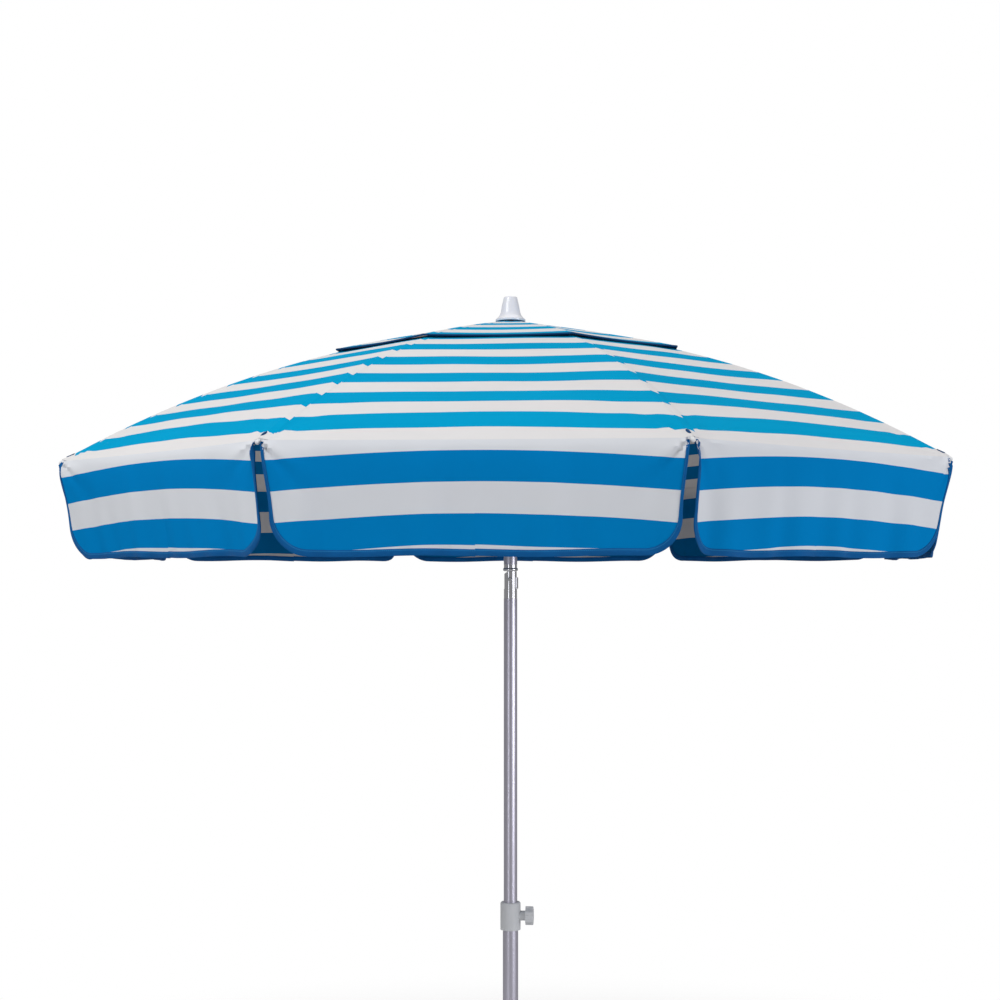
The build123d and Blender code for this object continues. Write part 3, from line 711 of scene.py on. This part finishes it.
NODE_MATERIALS = {
    "lower_pole": aluminium, "mid_pole": aluminium, "upper_pole": aluminium,
    "ground_spike": spike_plastic, "height_collar": grey_plastic, "clamp_knob": grey_plastic,
    "tilt_lower_socket": chrome, "tilt_upper_socket": chrome, "tilt_pin": chrome,
    "tilt_release_button": chrome, "crown_hub": white_plastic, "finial": finial_plastic,
    "runner": white_plastic, "crown_ring_wire": wire_steel, "runner_ring_wire": wire_steel,
    "runner_catch": grey_plastic, "catch_pin": wire_steel,
}
for index in range(1, RIBS + 1):
    NODE_MATERIALS[f"rib_{index}"] = rib_enamel
    NODE_MATERIALS[f"stretcher_{index}"] = rib_enamel
    NODE_MATERIALS[f"rib_tip_{index}"] = white_plastic
for name, material in NODE_MATERIALS.items():
    piece = frame["nodes"][name]
    if not piece.material_slots:
        piece.data.materials.append(material)
    for material_slot in piece.material_slots:
        material_slot.material = material

# The cloth, rib by rib

MAIN_ROWS = radii(VENT_RADIUS, RIM_RADIUS, 72, 1.25)
CAP_ROWS = radii(CAP_INNER, CAP_RADIUS, 30)
CAP_STRIP = 0.054
MAIN_KEEP, MAIN_OUTER_KEEP = 0.28, 0.02
CAP_KEEP, CAP_OUTER_KEEP = 0.40, 0.17


def build_canopy(number):
    """The main cloth and the vent cap along one rib: a strip over it and one to each side."""
    joint, body, cad = fold_joint(number), f"rib_{number}", f"canopy_panel_{number}"
    layers = [
        ("canopy", canopy_point, MAIN_ROWS, FOLD_STRIP / math.cos(HALF), MAIN_KEEP, MAIN_OUTER_KEEP),
        ("vent_cap", cap_point, CAP_ROWS, CAP_STRIP / math.cos(HALF), CAP_KEEP, CAP_OUTER_KEEP),
    ]
    for title, point, rows, edge, keep, outer_keep in layers:
        strip = rib_strip(f"{title}_rib_strip_{number}", number, point, rows, edge)
        # The outer face's cloth, and the inner face's cloth in painted shade.
        cloths = (canopy_cloth, cloth_inside_painted_shade)
        finish_sheet(strip, cloths, cad)
        fold(strip, body)
        for side in (1, -1):
            hand = "left" if side > 0 else "right"
            piece = side_strip(f"{title}_{hand}_{number}", number, side, point, rows, edge)
            finish_sheet(piece, cloths, cad)
            fold(piece, body)


def cap_border_band(name, number, side, low, high):
    """Braid over the vent cap's edge, between two distances from the rib on one side of it."""
    count = 14
    border = [(low + (high - low) * i / count, 0.0) for i in range(count + 1)]

    def place_of(away, inward):
        return cap_point(number, side, CAP_RADIUS - inward, max(away, 0.0))[0]

    inwards = [(0.0, 1.0)] * len(border)
    widths = [VENT_BINDING] * len(border)
    rows, patterns = binding_band(border, inwards, widths, place_of, UP)
    return closed_band(name, rows, patterns)


def build_vent_binding(number):
    """The vent cap's binding along one rib's share of its edge, cut where the cap's strips meet."""
    joint, body = fold_joint(number), f"rib_{number}"
    edge = CAP_STRIP / math.cos(HALF)
    half_width = CAP_RADIUS * math.sin(HALF)
    for side in (1, -1):
        hand = "left" if side > 0 else "right"
        outer_anchor = strip_anchor(number, side, CAP_STRIP, CAP_KEEP, CAP_OUTER_KEEP)
        near = cap_border_band(f"vent_binding_near_{number}_{hand}", number, side, 0.0, edge)
        far = cap_border_band(f"vent_binding_far_{number}_{hand}", number, side, edge, half_width)
        for band, anchor, keep in ((near, (0, 0, 0), CAP_KEEP), (far, outer_anchor, CAP_OUTER_KEEP)):
            band.data.materials.append(vent_braid)
            fold(band, body)


def build_tip_patch(number):
    """The small stitched patch that holds the cloth to the rib's tip."""
    rows, patterns = [], []
    for i in range(9):
        inward = 0.009 + 0.016 * i / 8
        row, pattern = [], []
        for j in range(11):
            across = (j / 10 - 0.5) * 2
            side = 1 if across >= 0 else -1
            away = abs(across) * 0.0045 * math.sqrt(max(0.05, 1 - ((i - 4) / 4.4) ** 2))
            place = canopy_point(number, side, RIM_RADIUS - inward, away)[0]
            place.z += 0.0012 + 0.0008 * (1 - across * across)
            row.append(place)
            pattern.append((inward, 0.0135 + 0.01 * across))
        rows.append(row)
        patterns.append(pattern)
    patch = grid_mesh(f"tip_patch_{number}", rows, patterns)
    facing(patch, UP)
    patch.data.materials.append(vent_braid)
    thicken(patch, 0.0012)
    fold(patch, f"rib_{number}")


def build_valance(number):
    """The two half flaps that hang beside one rib, with their bindings."""
    joint, body, cad = f"valance_{number}_hang", f"valance_{number}", f"valance_panel_{number}"
    for side in (1, -1):
        hand = "left" if side > 0 else "right"
        out, level = gore_axes(number, side)
        flap = valance_flap(number, side)
        # The flap's outer face in painted shade, darker and bluer, and its inner face in painted shade,
        # darker and greyer.
        finish_sheet(flap, (valance_cloth_painted_shade, cloth_inside_painted_shade), cad)
        fold(flap, body)
        border = flap_border()
        widths = [flap_binding_width(down) for _, down in border]

        def place_of(away, down):
            half_width = RIM_RADIUS * math.sin(HALF)
            return flap_point(number, side, min(max(away, 0.001), half_width), max(down, 0.0))[0]

        rows, patterns = binding_band(border, edge_normals(border), widths, place_of, out)
        band = closed_band(f"valance_binding_{number}_{hand}", rows, patterns)
        band.data.materials.append(rim_braid)
        fold(band, body)


for number in range(1, RIBS + 1):
    build_canopy(number)
    build_vent_binding(number)
    build_tip_patch(number)
    build_valance(number)

# Floor, light and camera

DISTANCE = 3.8440 * RIM_RADIUS
AZIMUTH = math.radians(4.04)
CAMERA_DROP = 0.2265
PITCH = math.radians(2.395)
LENS = 60.16
FLOOR_RADIUS = 2.6
WORLD_LIGHT = 0.27
WORLD_GLOSS = 0.34


def add_camera():
    data = bpy.data.cameras.new("camera")
    data.lens = LENS
    data.sensor_width = 36.0
    data.shift_x = -0.0105
    data.clip_end = 200.0
    camera = bpy.data.objects.new("camera", data)
    bpy.context.collection.objects.link(camera)
    rim_z = TIP.z - LIFT
    place = direction(AZIMUTH - math.pi / 2) * DISTANCE
    camera.location = (place.x, place.y, rim_z - CAMERA_DROP * RIM_RADIUS)
    camera.rotation_euler = (math.pi / 2 + PITCH, 0, AZIMUTH)
    bpy.context.scene.camera = camera


def add_floor():
    """A pale disc that fades out before it reaches the back of the picture."""
    segments = 96
    points = [tuple(direction(2 * math.pi * i / segments) * FLOOR_RADIUS) for i in range(segments)]
    mesh = bpy.data.meshes.new("floor")
    mesh.from_pydata(points, [], [list(range(segments))])
    floor = bpy.data.objects.new("floor", mesh)
    bpy.context.collection.objects.link(floor)
    material, tree, shader = new_material("floor")
    shader.inputs["Base Color"].default_value = (0.93, 0.93, 0.93, 1)
    shader.inputs["Roughness"].default_value = 0.9
    where = node(tree, "ShaderNodeTexCoord")
    length = node(tree, "ShaderNodeVectorMath", operation="LENGTH")
    linked(tree, where.outputs["Object"], length.inputs[0])
    fade = node(tree, "ShaderNodeMapRange", interpolation_type="SMOOTHSTEP")
    for name, value in (("From Min", 0.5), ("From Max", FLOOR_RADIUS), ("To Min", 1.0), ("To Max", 0.0)):
        fade.inputs[name].default_value = value
    linked(tree, length.outputs["Value"], fade.inputs["Value"])
    linked(tree, fade.outputs[0], shader.inputs["Alpha"])
    mesh.materials.append(material)


def add_light(name, place, target, size, power, colour=(1, 1, 1)):
    data = bpy.data.lights.new(name, "AREA")
    data.shape = "RECTANGLE"
    data.size, data.size_y = size
    data.energy = power
    data.color = colour
    lamp = bpy.data.objects.new(name, data)
    bpy.context.collection.objects.link(lamp)
    lamp.location = place
    lamp.rotation_euler = (Vector(target) - Vector(place)).to_track_quat("-Z", "Y").to_euler()


def add_world():
    """White to the eye, softer as light, and dim where polished metal reflects it."""
    world = bpy.data.worlds.new("studio")
    bpy.context.scene.world = world
    world.use_nodes = True
    tree = world.node_tree
    ray = node(tree, "ShaderNodeLightPath")
    dim = math_node(tree, "MULTIPLY", ray.outputs["Is Glossy Ray"], WORLD_GLOSS - WORLD_LIGHT)
    light = math_node(tree, "ADD", dim, WORLD_LIGHT)
    strength = math_node(tree, "MAXIMUM", light, ray.outputs["Is Camera Ray"])
    background = tree.nodes["Background"]
    background.inputs["Color"].default_value = (1, 1, 1, 1)
    linked(tree, strength, background.inputs["Strength"])


add_camera()
add_floor()
add_world()
add_light("key", (-3.0, -3.5, 5.0), (0, 0, 1.8), (2.2, 2.2), 150)
add_light("fill", (5.0, -2.6, 2.0), (0, 0, 1.8), (1.5, 3.0), 100, (0.95, 0.96, 1.0))
add_light("top", (0, 0.5, 6.0), (0, 0, 2.0), (4.0, 4.0), 70)
add_light("left strip", (-1.5, -2.7, 1.2), (0, 0, 1.2), (0.35, 2.2), 9, (0.93, 0.95, 1.0))
add_light("right strip", (2.2, -2.1, 1.2), (0, 0, 1.2), (0.3, 2.2), 9, (0.93, 0.95, 1.0))
bpy.context.scene.view_settings.view_transform = "Standard"
